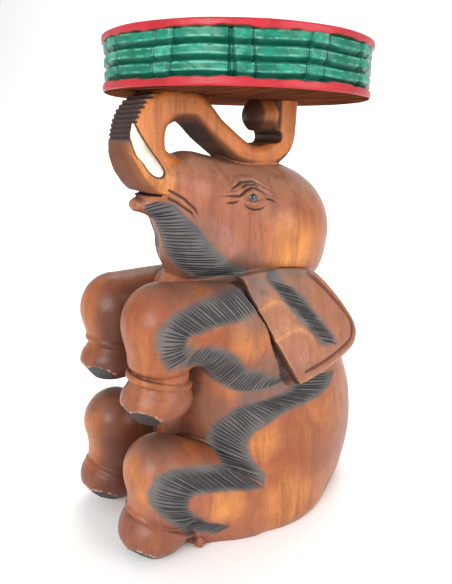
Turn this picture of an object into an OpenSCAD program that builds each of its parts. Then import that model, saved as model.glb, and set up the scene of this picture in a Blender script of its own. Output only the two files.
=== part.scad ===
// Carved elephant table: a seated elephant holds a round tabletop up on its curled trunk.
// The carving is glued up from sawn blocks and carved as one, so every glue face is flat.
// Frame: origin on the floor under the middle of the tabletop, +Z up, the elephant faces -Y,
// and its left side is +X.

/* [Tabletop] */
// Radius of the round tabletop
top_radius = 140; // [125:1:160]
// Thickness of the tabletop
top_thickness = 53; // [45:1:60]
// Height of the tabletop's underside above the floor
top_underside = 473; // [472:1:474]
// Height of the red band along the upper rim
upper_band_h = 11; // [8:1:14]
// Height of the red band along the lower rim
lower_band_h = 8; // [6:1:10]
// How far the carved canes stand back from the red bands
cane_setback = 3; // [2:0.5:5]

/* [Body] */
// Half the width of the rump
rump_half_width = 105; // [98:1:112]
// Height of the saddle face between the torso and the head, on the body's axis
neck_height = 293; // [290:1:296]
// Slope of that face, in degrees, falling towards the back
neck_slope = 6; // [4:1:8]

/* [Legs] */
// Distance of each leg's centre plane from the middle
leg_offset = 53; // [51:1:56]
// Half the width of a leg
leg_half_width = 37; // [34:1:39]
// Height of the left foreleg's knee
left_knee_height = 257; // [250:1:258]
// Height of the right foreleg's knee, which the carver set a little lower
right_knee_height = 245; // [242:1:258]
// Height of the middle of the left hind knee, which the carver set a little lower
left_hind_knee_height = 96; // [94:1:108]
// Height of the middle of the right hind knee
right_hind_knee_height = 106; // [94:1:108]
// Height of the saw cut between the forelegs and the hind legs
leg_split_height = 150; // [148:1:152]
// Angle between the leg glue faces and the middle plane, in degrees
leg_face_angle = 25; // [22:1:28]

/* [Trunk] */
// Half the width of the trunk
trunk_half_width = 25; // [22:1:27]
// Height of the trunk's glue face where it crosses the middle of the tabletop
trunk_face_height = 415; // [414:0.5:416]
// Slope of that face, in degrees, falling towards the back
trunk_face_slope = 10; // [9.5:0.5:10.5]

/* [Ears] */
// Thickness of an ear board at its middle
ear_thickness = 13; // [11:1:15]
// Distance of an ear's back face from the middle plane, at the ear's root
ear_root_offset = 68; // [66:1:70]
// Angle that an ear's back face leans outwards, in degrees
ear_lean = 13; // [12:1:14]

/* [Pegs] */
// Radius of the hardwood dowels in the glue joints
dowel_radius = 6; // [5:0.5:7]
// Radial clearance around a dowel
dowel_clearance = 0.25; // [0.2:0.05:0.4]
// Radius of a glass eye
eye_radius = 6.5; // [6:0.5:7.5]

/* [Hidden] */

wood = "peru";
soft_fn = 28;
limb_fn = 22;
huge = 900;
top_height = top_underside + top_thickness;
// The leg glue faces start at this point, in the gap between the two forelegs
leg_face_x = 17;
leg_face_y = -94;
// The ear hangs from this height
ear_root_height = 297;
// Where the glass eye sits on the left of the head
eye_place = [54, -17, 373];
// The tusk lies along the outer front edge of the trunk's column
tusk_x = trunk_half_width - 3;
tusk_line = [[-105, 394], [-116, 404], [-125, 417], [-131, 430], [-133, 441]];
tusk_radii = [8, 8.5, 7.5, 5.2, 1.6];
// The trunk's middle line in the Y-Z plane, from the snout round to the tip, and its half thickness
trunk_line = [
    [-98, 392], [-116, 408], [-119, 430], [-111, 451], [-92, 461], [-66, 461], [-53, 454],
    [-39, 441], [-22, 429], [-5, 418], [13, 413], [36, 416], [49, 432], [50, 450], [50, 472]
];
trunk_half_thickness = [22, 22, 21, 19, 16, 14, 13, 12, 12, 12, 11, 14, 17, 20, 18];
// Radius of the trunk's rounded edges
trunk_edge_r = 8;
// The ear's outline, seen from the side
ear_outline = [
    [-46, 296], [-36, 288], [-25, 256], [-12, 221], [4, 196], [17, 177], [27, 173], [62, 180],
    [96, 192], [112, 202], [116, 217], [106, 238], [84, 266], [60, 289], [30, 297], [0, 299]
];

// Each cane is a half round on a core that lies behind the bands
cane_h = (top_thickness - upper_band_h - lower_band_h) / 3;
cane_core_r = top_radius - cane_setback - cane_h / 2 + 1;
// Lengths of the dowels and pegs, and the heights of the legs' dowels
neck_dowel_l = 62;
trunk_dowel_l = 40;
tabletop_dowel_l = 40;
leg_dowel_l = 52;
ear_peg_l = 16;
ear_peg_r = 3;
foreleg_dowel_z = 226;
hind_leg_dowel_z = 64;
// Holes are this much longer than their dowels
end_gap = 1;

// An ellipsoid at a place
module egg(place, radii, fn = soft_fn)
    hull() translate(place) scale(radii) sphere(r = 1, $fn = fn);

// A limb between two ellipsoids
module limb(from, from_radii, to, to_radii, fn = limb_fn)
    hull() {
        translate(from) scale(from_radii) sphere(r = 1, $fn = fn);
        translate(to) scale(to_radii) sphere(r = 1, $fn = fn);
    }

// Repeats its children on the other side of the middle plane
module on_side(side)
    mirror([side < 0 ? 1 : 0, 0, 0]) children();

module both_sides() {
    on_side(1) children();
    on_side(-1) children();
}

// The trunk's direction at a point of its line, and the direction square to it
function trunk_heading(j) =
    let (d = trunk_line[min(j + 1, len(trunk_line) - 1)] - trunk_line[max(j - 1, 0)]) d / norm(d);
function trunk_across(j) = [-trunk_heading(j)[1], trunk_heading(j)[0]];

// One stretch of the trunk, a bar with rounded edges
module trunk_stretch(i)
    hull()
        for (j = [i, i + 1], x = [-1, 1], side = [-1, 1]) {
            place = trunk_line[j] + side * (trunk_half_thickness[j] - trunk_edge_r) * trunk_across(j);
            translate([x * (trunk_half_width - trunk_edge_r), place[0], place[1]])
                sphere(r = trunk_edge_r, $fn = 12);
        }

module trunk_shape()
    for (i = [0 : len(trunk_line) - 2]) trunk_stretch(i);

module head_shape() {
    egg([0, 36, 331], [76, 87, 76]);
    limb([0, 20, 346], [66, 70, 60], [0, -64, 377], [38, 40, 41]);
    limb([0, -34, 318], [56, 60, 45], [0, -54, 348], [42, 47, 26]);
    limb([0, -74, 356], [33, 26, 14], [0, -110, 366], [20, 12, 7]);
    limb([0, -64, 377], [38, 40, 36], [0, -104, 392], [31, 22, 15]);
    both_sides() egg([32, -20, 368], [25, 34, 25]);
}

module torso_shape() {
    egg([0, 48, 83], [rump_half_width, 131, 167]);
    limb([0, 20, 22], [115, 122, 62], [0, 42, 92], [106, 124, 84]);
    limb([0, -12, 100], [82, 82, 70], [0, -14, 262], [74, 80, 44]);
    egg([0, 30, 236], [86, 86, 76]);
    tail_shape();
}

// The tail lies on the back, and its tuft turns to the left
module tail_shape() {
    limb([0, 170, 132], [9, 8, 9], [0, 177, 96], [8, 8, 8]);
    limb([0, 177, 96], [8, 8, 8], [8, 175, 60], [9, 9, 14]);
}

// A foreleg, bent at the wrist and resting on the belly; its knee sits at the height given
module foreleg_shape(knee_z) {
    egg([58, 4, 226], [34, 82, 72]);
    limb([56, -36, 238], [40, 50, 48], [leg_offset, -123, knee_z], [leg_half_width, 39, 40]);
    limb([leg_offset, -123, knee_z - 4], [leg_half_width - 1, 38, 34], [leg_offset, -121, 214], [35, 37, 20]);
    egg([leg_offset, -122, 218], [38, 40, 7]);
    limb([leg_offset, -123, 196], [36, 39, 18], [leg_offset, -124, 178], [35, 38, 20]);
}

// A folded hind leg, whose foot stands on the floor; its knee sits at the height given
module hind_leg_shape(knee_z) {
    limb([leg_offset, -127, knee_z], [leg_half_width, 36, 38], [70, -30, 38], [38, 52, 47]);
    limb([leg_offset, -127, knee_z - 4], [leg_half_width - 1, 35, 32], [leg_offset, -129, 60], [34, 35, 20]);
    egg([leg_offset, -130, 68], [38, 39, 7]);
    limb([leg_offset, -130, 44], [37, 40, 22], [leg_offset, -126, 12], [32, 31, 24]);
    limb([60, -78, 20], [26, 28, 34], [74, -24, 20], [34, 52, 34]);
}

// The carving up to the trunk's glue face, standing on the floor
module carving_shape()
    difference() {
        union() {
            torso_shape();
            head_shape();
            difference() {
                trunk_shape();
                above_trunk_face();
            }
            foreleg_shape(left_knee_height);
            on_side(-1) foreleg_shape(right_knee_height);
            hind_leg_shape(left_hind_knee_height);
            on_side(-1) hind_leg_shape(right_hind_knee_height);
        }
        translate([-huge, -huge, -huge]) cube([2 * huge, 2 * huge, huge]);
    }

// The trunk from its glue face up to the tabletop's underside
module upper_trunk_shape()
    intersection() {
        trunk_shape();
        above_trunk_face();
        translate([-huge, -huge, 0]) cube([2 * huge, 2 * huge, top_underside]);
    }

// Everything above the neck's glue face
module above_neck()
    translate([0, 0, neck_height]) rotate([-neck_slope, 0, 0])
        translate([-huge, -huge, 0]) cube([2 * huge, 2 * huge, huge]);

// Everything above the trunk's glue face
module above_trunk_face()
    translate([0, 0, trunk_face_height]) rotate([-trunk_face_slope, 0, 0])
        translate([-huge, -huge, 0]) cube([2 * huge, 2 * huge, huge]);

// Everything outside the leg glue face of one side
module outside_leg_face(side)
    on_side(side) translate([leg_face_x, leg_face_y, -huge]) rotate([0, 0, -leg_face_angle])
        translate([0, -huge, 0]) cube([huge, 2 * huge, 2 * huge]);

// The ear's outline in the plane of its leaning back face, hung from its root
module ear_flat()
    scale([1, 1 / cos(ear_lean)]) translate([0, -ear_root_height]) polygon(ear_outline);

// The housing that an ear board is let into
module ear_housing(side, depth)
    on_side(side) translate([ear_root_offset, 0, ear_root_height]) rotate([0, -ear_lean, 0])
        rotate([90, 0, 90]) linear_extrude(depth)
            ear_flat();

module ear_cuts() {
    ear_housing(1, 80);
    ear_housing(-1, 80);
}

module tusk_shape(side)
    on_side(side)
        for (i = [0 : len(tusk_line) - 2])
            hull()
                for (j = [i, i + 1])
                    translate([tusk_x, tusk_line[j][0], tusk_line[j][1]])
                        sphere(r = tusk_radii[j], $fn = 20);

module eye_shape(side)
    on_side(side) translate(eye_place) sphere(r = eye_radius);

// A straight dowel along +Z, centred, or the hole for it
module dowel(length, radius = dowel_radius)
    cylinder(r = radius, h = length, center = true, $fn = 32);

// The places of the neck dowels on the neck's glue face
module at_neck_dowels()
    for (place = [[0, -42], [-30, 34], [30, 34]])
        translate([place[0], place[1], neck_height - place[1] * tan(neck_slope)]) children();

// One trunk dowel is in the front column and one is under the rising arm
module at_trunk_dowels()
    for (y = [-119, 43])
        translate([0, y, trunk_face_height - y * tan(trunk_face_slope)]) children();

module at_tabletop_dowels()
    for (y = [-96, -70, 51]) translate([0, y, top_underside]) children();

// Two dowels stand square to a leg's glue face at one height
module at_leg_dowels(side, z)
    on_side(side) translate([leg_face_x, leg_face_y, z]) rotate([0, 0, -leg_face_angle])
        for (y = [52, 98]) translate([0, y, 0]) rotate([0, 90, 0]) children();

// Two thin pegs hold each ear board's root
module at_ear_pegs(side)
    on_side(side) translate([ear_root_offset, 0, ear_root_height]) rotate([0, -ear_lean, 0])
        for (place = [[8, -38], [36, -52]])
            translate([0, place[0], place[1]]) rotate([0, 90, 0]) children();

module hole(length, radius = dowel_radius)
    dowel(length, radius + dowel_clearance);

module torso_block()
    color(wood) difference() {
        carving_shape();
        above_neck();
        outside_leg_face(1);
        outside_leg_face(-1);
        ear_cuts();
        at_neck_dowels() hole(neck_dowel_l + end_gap);
        for (side = [1, -1]) {
            at_leg_dowels(side, foreleg_dowel_z) hole(leg_dowel_l + end_gap);
            at_leg_dowels(side, hind_leg_dowel_z) hole(leg_dowel_l + end_gap);
            at_ear_pegs(side) hole(ear_peg_l + end_gap, ear_peg_r);
        }
    }

// The part of the carving outside a leg's glue face and below the neck
module leg_side(side)
    difference() {
        intersection() {
            carving_shape();
            outside_leg_face(side);
        }
        above_neck();
        ear_cuts();
    }

module foreleg_block(side)
    color(wood) difference() {
        leg_side(side);
        translate([-huge, -huge, leg_split_height - 2 * huge]) cube(2 * huge);
        at_leg_dowels(side, foreleg_dowel_z) hole(leg_dowel_l + end_gap);
    }

module hind_leg_block(side)
    color(wood) difference() {
        leg_side(side);
        translate([-huge, -huge, leg_split_height]) cube(2 * huge);
        at_leg_dowels(side, hind_leg_dowel_z) hole(leg_dowel_l + end_gap);
    }

module head_block()
    color(wood) difference() {
        intersection() {
            carving_shape();
            above_neck();
        }
        upper_trunk_shape();
        ear_cuts();
        tusk_shape(1);
        tusk_shape(-1);
        eye_shape(1);
        eye_shape(-1);
        at_neck_dowels() hole(neck_dowel_l + end_gap);
        at_trunk_dowels() hole(trunk_dowel_l + end_gap);
    }

module trunk_block()
    color("sandybrown") difference() {
        upper_trunk_shape();
        tusk_shape(1);
        tusk_shape(-1);
        at_trunk_dowels() hole(trunk_dowel_l + end_gap);
        at_tabletop_dowels() hole(tabletop_dowel_l + end_gap);
    }

// A board with two plain bands and three half-round canes carved between them
module tabletop()
    color("seagreen") difference() {
        union() {
            translate([0, 0, top_underside]) cylinder(r = top_radius, h = lower_band_h);
            translate([0, 0, top_height - upper_band_h])
                cylinder(r = top_radius, h = upper_band_h);
            translate([0, 0, top_underside]) cylinder(r = cane_core_r, h = top_thickness);
            for (i = [0 : 2])
                translate([0, 0, top_underside + lower_band_h + cane_h * (i + 0.5)])
                    rotate_extrude()
                        translate([cane_core_r - 1, 0]) intersection() {
                            circle(r = cane_h / 2);
                            translate([0, -cane_h]) square(2 * cane_h);
                        }
        }
        at_tabletop_dowels() hole(tabletop_dowel_l + end_gap);
    }

// An ear board, full in the middle and thin at its edge
module ear(side)
    color(wood) difference() {
        intersection() {
            ear_housing(side, ear_thickness);
            on_side(side) translate([ear_root_offset, 0, ear_root_height])
                rotate([0, -ear_lean, 0]) rotate([90, 0, 90])
                    hull()
                        for (step = [0 : 2])
                            linear_extrude(ear_thickness * [0.5, 0.85, 1][step])
                                offset(delta = -[0, 9, 22][step]) ear_flat();
        }
        at_ear_pegs(side) hole(ear_peg_l + end_gap, ear_peg_r);
    }

module left_foreleg_block() foreleg_block(1);
module right_foreleg_block() foreleg_block(-1);
module left_hind_leg_block() hind_leg_block(1);
module right_hind_leg_block() hind_leg_block(-1);
module left_ear() ear(1);
module right_ear() ear(-1);
module left_tusk() color("ivory") tusk_shape(1);
module right_tusk() color("ivory") tusk_shape(-1);
module left_eye() color("slategray") eye_shape(1);
module right_eye() color("slategray") eye_shape(-1);
module neck_dowels() color("tan") at_neck_dowels() dowel(neck_dowel_l);
module trunk_dowels() color("tan") at_trunk_dowels() dowel(trunk_dowel_l);
module tabletop_dowels() color("tan") at_tabletop_dowels() dowel(tabletop_dowel_l);
module left_foreleg_dowels() color("tan") at_leg_dowels(1, foreleg_dowel_z) dowel(leg_dowel_l);
module right_foreleg_dowels() color("tan") at_leg_dowels(-1, foreleg_dowel_z) dowel(leg_dowel_l);
module left_hind_leg_dowels() color("tan") at_leg_dowels(1, hind_leg_dowel_z) dowel(leg_dowel_l);
module right_hind_leg_dowels() color("tan") at_leg_dowels(-1, hind_leg_dowel_z) dowel(leg_dowel_l);
module left_ear_pegs() color("tan") at_ear_pegs(1) dowel(ear_peg_l, ear_peg_r);
module right_ear_pegs() color("tan") at_ear_pegs(-1) dowel(ear_peg_l, ear_peg_r);

torso_block();
left_foreleg_block();
right_foreleg_block();
left_hind_leg_block();
right_hind_leg_block();
head_block();
trunk_block();
tabletop();
left_ear();
right_ear();
left_tusk();
right_tusk();
left_eye();
right_eye();
neck_dowels();
trunk_dowels();
tabletop_dowels();
left_foreleg_dowels();
right_foreleg_dowels();
left_hind_leg_dowels();
right_hind_leg_dowels();
left_ear_pegs();
right_ear_pegs();
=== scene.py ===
"""Looks of the carved elephant table.

The wood is one continuous carving. It is described as a signed distance field in millimetres,
meshed once, hatched and creased along its surface, and then cut at the flat glue faces into the
blocks of the CAD model. Every object is in metres, in the CAD frame: origin on the floor under
the tabletop, +Z up, the elephant faces -Y and its left side is +X.
"""
import math
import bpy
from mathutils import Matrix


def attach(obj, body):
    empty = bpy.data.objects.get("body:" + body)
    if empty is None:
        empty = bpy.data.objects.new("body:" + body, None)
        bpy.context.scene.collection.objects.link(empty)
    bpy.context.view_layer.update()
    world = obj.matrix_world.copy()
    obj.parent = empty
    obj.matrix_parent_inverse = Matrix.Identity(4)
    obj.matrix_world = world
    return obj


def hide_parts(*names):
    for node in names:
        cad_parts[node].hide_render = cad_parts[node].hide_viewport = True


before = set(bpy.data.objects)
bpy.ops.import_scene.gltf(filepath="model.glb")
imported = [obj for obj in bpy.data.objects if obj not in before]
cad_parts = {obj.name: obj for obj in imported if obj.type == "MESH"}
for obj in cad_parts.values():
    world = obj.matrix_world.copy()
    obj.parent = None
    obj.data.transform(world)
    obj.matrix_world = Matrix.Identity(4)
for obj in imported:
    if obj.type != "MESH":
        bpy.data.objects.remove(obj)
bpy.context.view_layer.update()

from concurrent.futures import ThreadPoolExecutor

import bmesh
import bpy
import numpy as np
import openvdb
from mathutils import Matrix, Vector

MM = 0.001
VOXEL = 1.3
EAR_VOXEL = 0.9
SEED = 7

# Sizes that the CAD model sets too
TOP_UNDERSIDE = 473.0
TOP_HEIGHT = 526.0
TOP_RADIUS = 140.0
NECK_HEIGHT, NECK_SLOPE = 293.0, math.radians(6)
TRUNK_FACE_HEIGHT, TRUNK_FACE_SLOPE = 415.0, math.radians(10)
LEG_FACE_X, LEG_FACE_Y, LEG_FACE_ANGLE = 17.0, -94.0, math.radians(25)
LEG_SPLIT_HEIGHT = 150.0
EAR_ROOT_X, EAR_ROOT_Z, EAR_LEAN = 68.0, 297.0, math.radians(13)
EYE_PLACE, EYE_RADIUS = (54.0, -17.0, 373.0), 6.5
KNEE_MIDDLE, KNEE_DIFFERENCE = 251.0, 6.0
HIND_KNEE_MIDDLE, HIND_KNEE_DIFFERENCE = 101.0, -5.0


# ---------------------------------------------------------------- camera, floor and light

# Where the camera stands, in metres, which way it looks, and its roll and focal length
CAMERA_PLACE = (0.5035, -0.3687, 0.4313)
CAMERA_HEADING = (-0.7822, 0.5620, -0.2689)
CAMERA_ROLL, CAMERA_LENS = math.radians(1.5), 33.9


def make_camera():
    """The camera stands in front of the elephant's left shoulder, a little above it."""
    data = bpy.data.cameras.new("camera")
    data.sensor_width = 36
    data.lens = CAMERA_LENS
    camera = bpy.data.objects.new("camera", data)
    bpy.context.collection.objects.link(camera)
    forward = Vector(CAMERA_HEADING).normalized()
    level = forward.cross(Vector((0, 0, 1))).normalized()
    upright = level.cross(forward)
    right = level * math.cos(CAMERA_ROLL) + upright * math.sin(CAMERA_ROLL)
    up = upright * math.cos(CAMERA_ROLL) - level * math.sin(CAMERA_ROLL)
    turn = Matrix((right, up, -forward)).transposed().to_4x4()
    camera.matrix_world = Matrix.Translation(CAMERA_PLACE) @ turn
    bpy.context.scene.camera = camera


def make_floor():
    """A pale floor that curves up far behind the elephant."""
    mesh = bpy.data.meshes.new("floor")
    half, flat, rise, steps = 4.0, 2.0, 2.5, 12
    rows = [(-half, 0.0), (flat, 0.0)]
    rows += [(flat + rise * math.sin(a), rise * (1 - math.cos(a)))
             for a in (math.pi / 2 * i / steps for i in range(1, steps + 1))]
    angle = math.radians(35)
    across, ahead = (math.cos(angle), math.sin(angle)), (-math.sin(angle), math.cos(angle))
    points = [(s * half * across[0] + d * ahead[0], s * half * across[1] + d * ahead[1], z)
              for d, z in rows for s in (-1, 1)]
    faces = [(2 * i, 2 * i + 1, 2 * i + 3, 2 * i + 2) for i in range(len(rows) - 1)]
    mesh.from_pydata(points, [], faces)
    mesh.shade_smooth()
    floor = bpy.data.objects.new("floor", mesh)
    bpy.context.collection.objects.link(floor)
    shader = Shader("floor_paper")
    tooth = shader.noise(300.0, detail=3)
    paper = shader.mix(shader.span(tooth, 0.3, 0.7), (0.98, 0.98, 0.98), (0.95, 0.95, 0.95))
    shader.finish(paper, 0.9, specular=0.1)
    mesh.materials.append(shader.material)


def area_light(name, place, aim, size, power, color=(1, 1, 1)):
    data = bpy.data.lights.new(name, "AREA")
    data.shape = "DISK"
    data.size = size
    data.energy = power
    data.color = color
    light = bpy.data.objects.new(name, data)
    light.location = place
    light.rotation_euler = (Vector(aim) - Vector(place)).to_track_quat("-Z", "Y").to_euler()
    bpy.context.collection.objects.link(light)


def make_light():
    """Soft daylight from all round, stronger from the front and left, and a lit backdrop."""
    world = bpy.data.worlds.new("studio")
    bpy.context.scene.world = world
    world.use_nodes = True
    world.node_tree.nodes["Background"].inputs["Color"].default_value = (1.0, 1.0, 1.0, 1)
    world.node_tree.nodes["Background"].inputs["Strength"].default_value = 0.72
    aim = (0, 0, 0.25)
    area_light("key", (0.9, -1.5, 0.95), aim, 1.0, 24, (1.0, 0.98, 0.95))
    area_light("side", (1.6, 0.5, 0.8), aim, 1.0, 11, (1.0, 0.98, 0.96))
    area_light("backdrop", (-1.0, 0.9, 2.2), (-2.2, 2.0, 0.4), 2.0, 90)
    bpy.context.scene.view_settings.view_transform = "Standard"


# ---------------------------------------------------------------- material helper

class Shader:
    """A material with one Principled shader, and short ways to add nodes to it."""

    def __init__(self, name):
        self.material = bpy.data.materials.new(name)
        self.material.use_nodes = True
        self.tree = self.material.node_tree
        self.principled = self.tree.nodes["Principled BSDF"]
        self.coords = self.tree.nodes.new("ShaderNodeTexCoord").outputs["Object"]

    def link(self, value, socket):
        """Links an output to a socket, or sets the socket to a constant."""
        if isinstance(value, bpy.types.NodeSocket):
            self.tree.links.new(value, socket)
        elif isinstance(value, tuple) and len(value) == 3 and socket.type == "RGBA":
            socket.default_value = (*value, 1.0)
        else:
            socket.default_value = value

    def attribute(self, name):
        node = self.tree.nodes.new("ShaderNodeAttribute")
        node.attribute_name = name
        return node.outputs["Fac"]

    def stretched(self, scale):
        """Object coordinates in metres, scaled along each axis."""
        node = self.tree.nodes.new("ShaderNodeMapping")
        self.link(self.coords, node.inputs["Vector"])
        node.inputs["Scale"].default_value = scale
        return node.outputs["Vector"]

    def noise(self, scale=1.0, vector=None, detail=3.0, rough=0.5, distortion=0.0):
        node = self.tree.nodes.new("ShaderNodeTexNoise")
        self.link(self.coords if vector is None else vector, node.inputs["Vector"])
        node.inputs["Scale"].default_value = scale
        node.inputs["Detail"].default_value = detail
        node.inputs["Roughness"].default_value = rough
        node.inputs["Distortion"].default_value = distortion
        return node.outputs["Fac"]

    def cells(self, scale, vector):
        node = self.tree.nodes.new("ShaderNodeTexVoronoi")
        self.link(vector, node.inputs["Vector"])
        node.inputs["Scale"].default_value = scale
        return node.outputs["Distance"]

    def span(self, value, low, high, to_low=0.0, to_high=1.0):
        """Maps low..high to to_low..to_high, clamped and eased."""
        node = self.tree.nodes.new("ShaderNodeMapRange")
        node.interpolation_type = "SMOOTHSTEP"
        self.link(value, node.inputs["Value"])
        for name, number in (("From Min", low), ("From Max", high),
                             ("To Min", to_low), ("To Max", to_high)):
            node.inputs[name].default_value = number
        return node.outputs["Result"]

    def math(self, operation, a, b):
        node = self.tree.nodes.new("ShaderNodeMath")
        node.operation = operation
        self.link(a, node.inputs[0])
        self.link(b, node.inputs[1])
        return node.outputs[0]

    def mix(self, factor, a, b, kind="MIX"):
        node = self.tree.nodes.new("ShaderNodeMix")
        node.data_type = "RGBA"
        node.blend_type = kind
        self.link(factor, node.inputs["Factor"])
        self.link(a, node.inputs[6])
        self.link(b, node.inputs[7])
        return node.outputs[2]

    def stain(self, color, mask, strength, tone):
        """Tints a colour where one of the mesh's masks is 1."""
        return self.mix(self.math("MULTIPLY", self.attribute(mask), strength), color, tone)

    def bump(self, height, strength, distance_mm, normal=None):
        node = self.tree.nodes.new("ShaderNodeBump")
        node.inputs["Strength"].default_value = strength
        node.inputs["Distance"].default_value = distance_mm * MM
        self.link(height, node.inputs["Height"])
        if normal is not None:
            self.link(normal, node.inputs["Normal"])
        return node.outputs["Normal"]

    def finish(self, color, roughness, normal=None, coat=0.0, coat_roughness=0.2,
               specular=0.5):
        """Connects the shader; the coat and the specular level are plain numbers."""
        self.link(color, self.principled.inputs["Base Color"])
        self.link(roughness, self.principled.inputs["Roughness"])
        if normal is not None:
            self.link(normal, self.principled.inputs["Normal"])
        self.principled.inputs["Coat Weight"].default_value = coat
        self.principled.inputs["Coat Roughness"].default_value = coat_roughness
        self.principled.inputs["Specular IOR Level"].default_value = specular
        return self.material


# ---------------------------------------------------------------- distance fields

def length(*parts):
    """Length of a vector given by its parts."""
    return np.sqrt(sum(part * part for part in parts))


def ramp(value, start, end):
    """0 before start, 1 after end, and smooth between them."""
    t = np.clip((value - start) / (end - start), 0, 1)
    return t * t * (3 - 2 * t)


def egg(p, centre, radii):
    """Distance to an ellipsoid, exact on its surface."""
    q = [(p[i] - centre[i]) / radii[i] for i in range(3)]
    near = length(*q)
    slope = length(*[q[i] / radii[i] for i in range(3)])
    return near * (near - 1) / np.maximum(slope, 1e-6)


def limb(p, start, start_radii, end, end_radii):
    """Distance to a limb that runs from one ellipsoid to another."""
    axis = [end[i] - start[i] for i in range(3)]
    along = sum((p[i] - start[i]) * axis[i] for i in range(3)) / sum(a * a for a in axis)
    t = np.clip(along, 0, 1)
    centre = [start[i] + t * axis[i] for i in range(3)]
    radii = [start_radii[i] + t * (end_radii[i] - start_radii[i]) for i in range(3)]
    return egg(p, centre, radii)


def blend(a, b, soft):
    """Union of two shapes with a fillet of about the given size."""
    h = np.clip(0.5 + 0.5 * (b - a) / soft, 0, 1)
    return b + (a - b) * h - soft * h * (1 - h)


def carve(a, b, soft):
    """Shape a with shape b taken away, and a softened edge."""
    return -blend(-a, b, soft)


def smooth_line(points, steps=3):
    """Catmull-Rom curve through the points, each a tuple of numbers of any length."""
    p = np.array(points, float)
    p = np.vstack([2 * p[0] - p[1], p, 2 * p[-1] - p[-2]])
    out = []
    for i in range(1, len(p) - 2):
        for t in np.arange(steps) / steps:
            out.append(0.5 * (2 * p[i] + (p[i + 1] - p[i - 1]) * t
                              + (2 * p[i - 1] - 5 * p[i] + 4 * p[i + 1] - p[i + 2]) * t ** 2
                              + (3 * p[i] - p[i - 1] - 3 * p[i + 1] + p[i + 2]) * t ** 3))
    out.append(p[-2])
    return np.array(out)


def along_segment(u, v, start, end):
    """How far along a segment in the plane each point lies, 0 to 1, and its distance from it."""
    across, up = end[0] - start[0], end[1] - start[1]
    t = np.clip(((u - start[0]) * across + (v - start[1]) * up) / (across ** 2 + up ** 2), 0, 1)
    return t, length(u - start[0] - t * across, v - start[1] - t * up)


def line_distance(u, v, points):
    """Distance in the plane to an open line."""
    best = np.full(u.shape, 1e9, u.dtype)
    for start, end in zip(points[:-1], points[1:]):
        best = np.minimum(best, along_segment(u, v, start, end)[1])
    return best


def outline_distance(u, v, points):
    """Signed distance in the plane to a closed outline, negative inside it."""
    inside = np.zeros(u.shape, bool)
    for (au, av), (bu, bv) in zip(points, np.roll(points, -1, axis=0)):
        if av != bv:
            inside ^= ((v >= av) != (v >= bv)) & (u < au + (v - av) / (bv - av) * (bu - au))
    best = line_distance(u, v, np.vstack([points, points[:1]]))
    return np.where(inside, -best, best)


# The trunk's middle line seen from the side, (Y, Z, half thickness)
TRUNK = smooth_line([
    (-98, 392, 22), (-116, 408, 22), (-119, 430, 21), (-111, 451, 19), (-92, 461, 16),
    (-66, 461, 14), (-53, 454, 13), (-39, 441, 12.5), (-22, 429, 12.5), (-5, 418, 12.5),
    (13, 413, 11), (36, 415, 13), (52, 429, 15), (55, 450, 15.5), (55, 478, 15.5)])
TRUNK_HALF_WIDTH, TRUNK_EDGE = 25.0, 9.0

# The ear's outline seen from the side, (Y, Z)
EAR_OUTLINE = smooth_line([
    (-46, 296), (-37, 285), (-27, 259), (-17, 244), (-10, 227), (4, 203), (17, 177), (27, 173),
    (62, 180), (96, 192), (112, 202), (116, 217), (106, 238), (84, 266), (60, 289), (30, 297),
    (0, 299)], 2)

# The left tusk's middle line, (Y, Z, radius), and the distance of that line from the middle
TUSK = smooth_line([(-103, 390, 8), (-116, 404, 8.5), (-125, 417, 7.5), (-131, 430, 5.2),
                    (-133, 441, 1.6)], 4)
TUSK_X = 22.0
TUSK_GROOVE_DEPTH = 0.9


# The ball of the trunk's curled tip, and the hollow under it: its ends along Y, height and radius
TIP_BALL = ((0, 35, 457), (22, 22, 20))
TIP_HOLLOW_ENDS, TIP_HOLLOW_HEIGHT, TIP_HOLLOW_RADIUS = (26, 39), 434, 6.5


def trunk(p):
    """A bar with rounded edges swept along the trunk's line."""
    best = np.full(p[0].shape, 1e3, p[0].dtype)
    flat = p[0] - (TRUNK_HALF_WIDTH - TRUNK_EDGE)
    for (*start, start_r), (*end, end_r) in zip(TRUNK[:-1], TRUNK[1:]):
        t, d = along_segment(p[1], p[2], start, end)
        out = d - (start_r + t * (end_r - start_r) - TRUNK_EDGE)
        inner = np.minimum(np.maximum(flat, out), 0)
        d = length(np.maximum(flat, 0), np.maximum(out, 0)) + inner - TRUNK_EDGE
        best = np.minimum(best, d)
    best = blend(best, egg(p, *TIP_BALL), 3)
    under_tip = length(p[1] - np.clip(p[1], *TIP_HOLLOW_ENDS), p[2] - TIP_HOLLOW_HEIGHT)
    return carve(best, under_tip - TIP_HOLLOW_RADIUS, 2)


def tusk(p):
    """The tapering tusk, as a row of cones."""
    best = np.full(p[0].shape, 1e3, p[0].dtype)
    for (*start, start_r), (*end, end_r) in zip(TUSK[:-1], TUSK[1:]):
        t, d = along_segment(p[1], p[2], start, end)
        best = np.minimum(best, length(p[0] - TUSK_X, d) - (start_r + t * (end_r - start_r)))
    return best


def torso(p):
    """The belly, the wide seat, the chest and the shoulders."""
    d = egg(p, (0, 48, 83), (105, 131, 167))
    d = blend(d, limb(p, (0, 20, 22), (115, 122, 62), (0, 42, 92), (106, 124, 84)), 10)
    d = blend(d, limb(p, (0, -12, 100), (82, 82, 70), (0, -14, 262), (74, 80, 44)), 10)
    return blend(d, egg(p, (0, 30, 236), (86, 86, 76)), 10)


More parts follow.
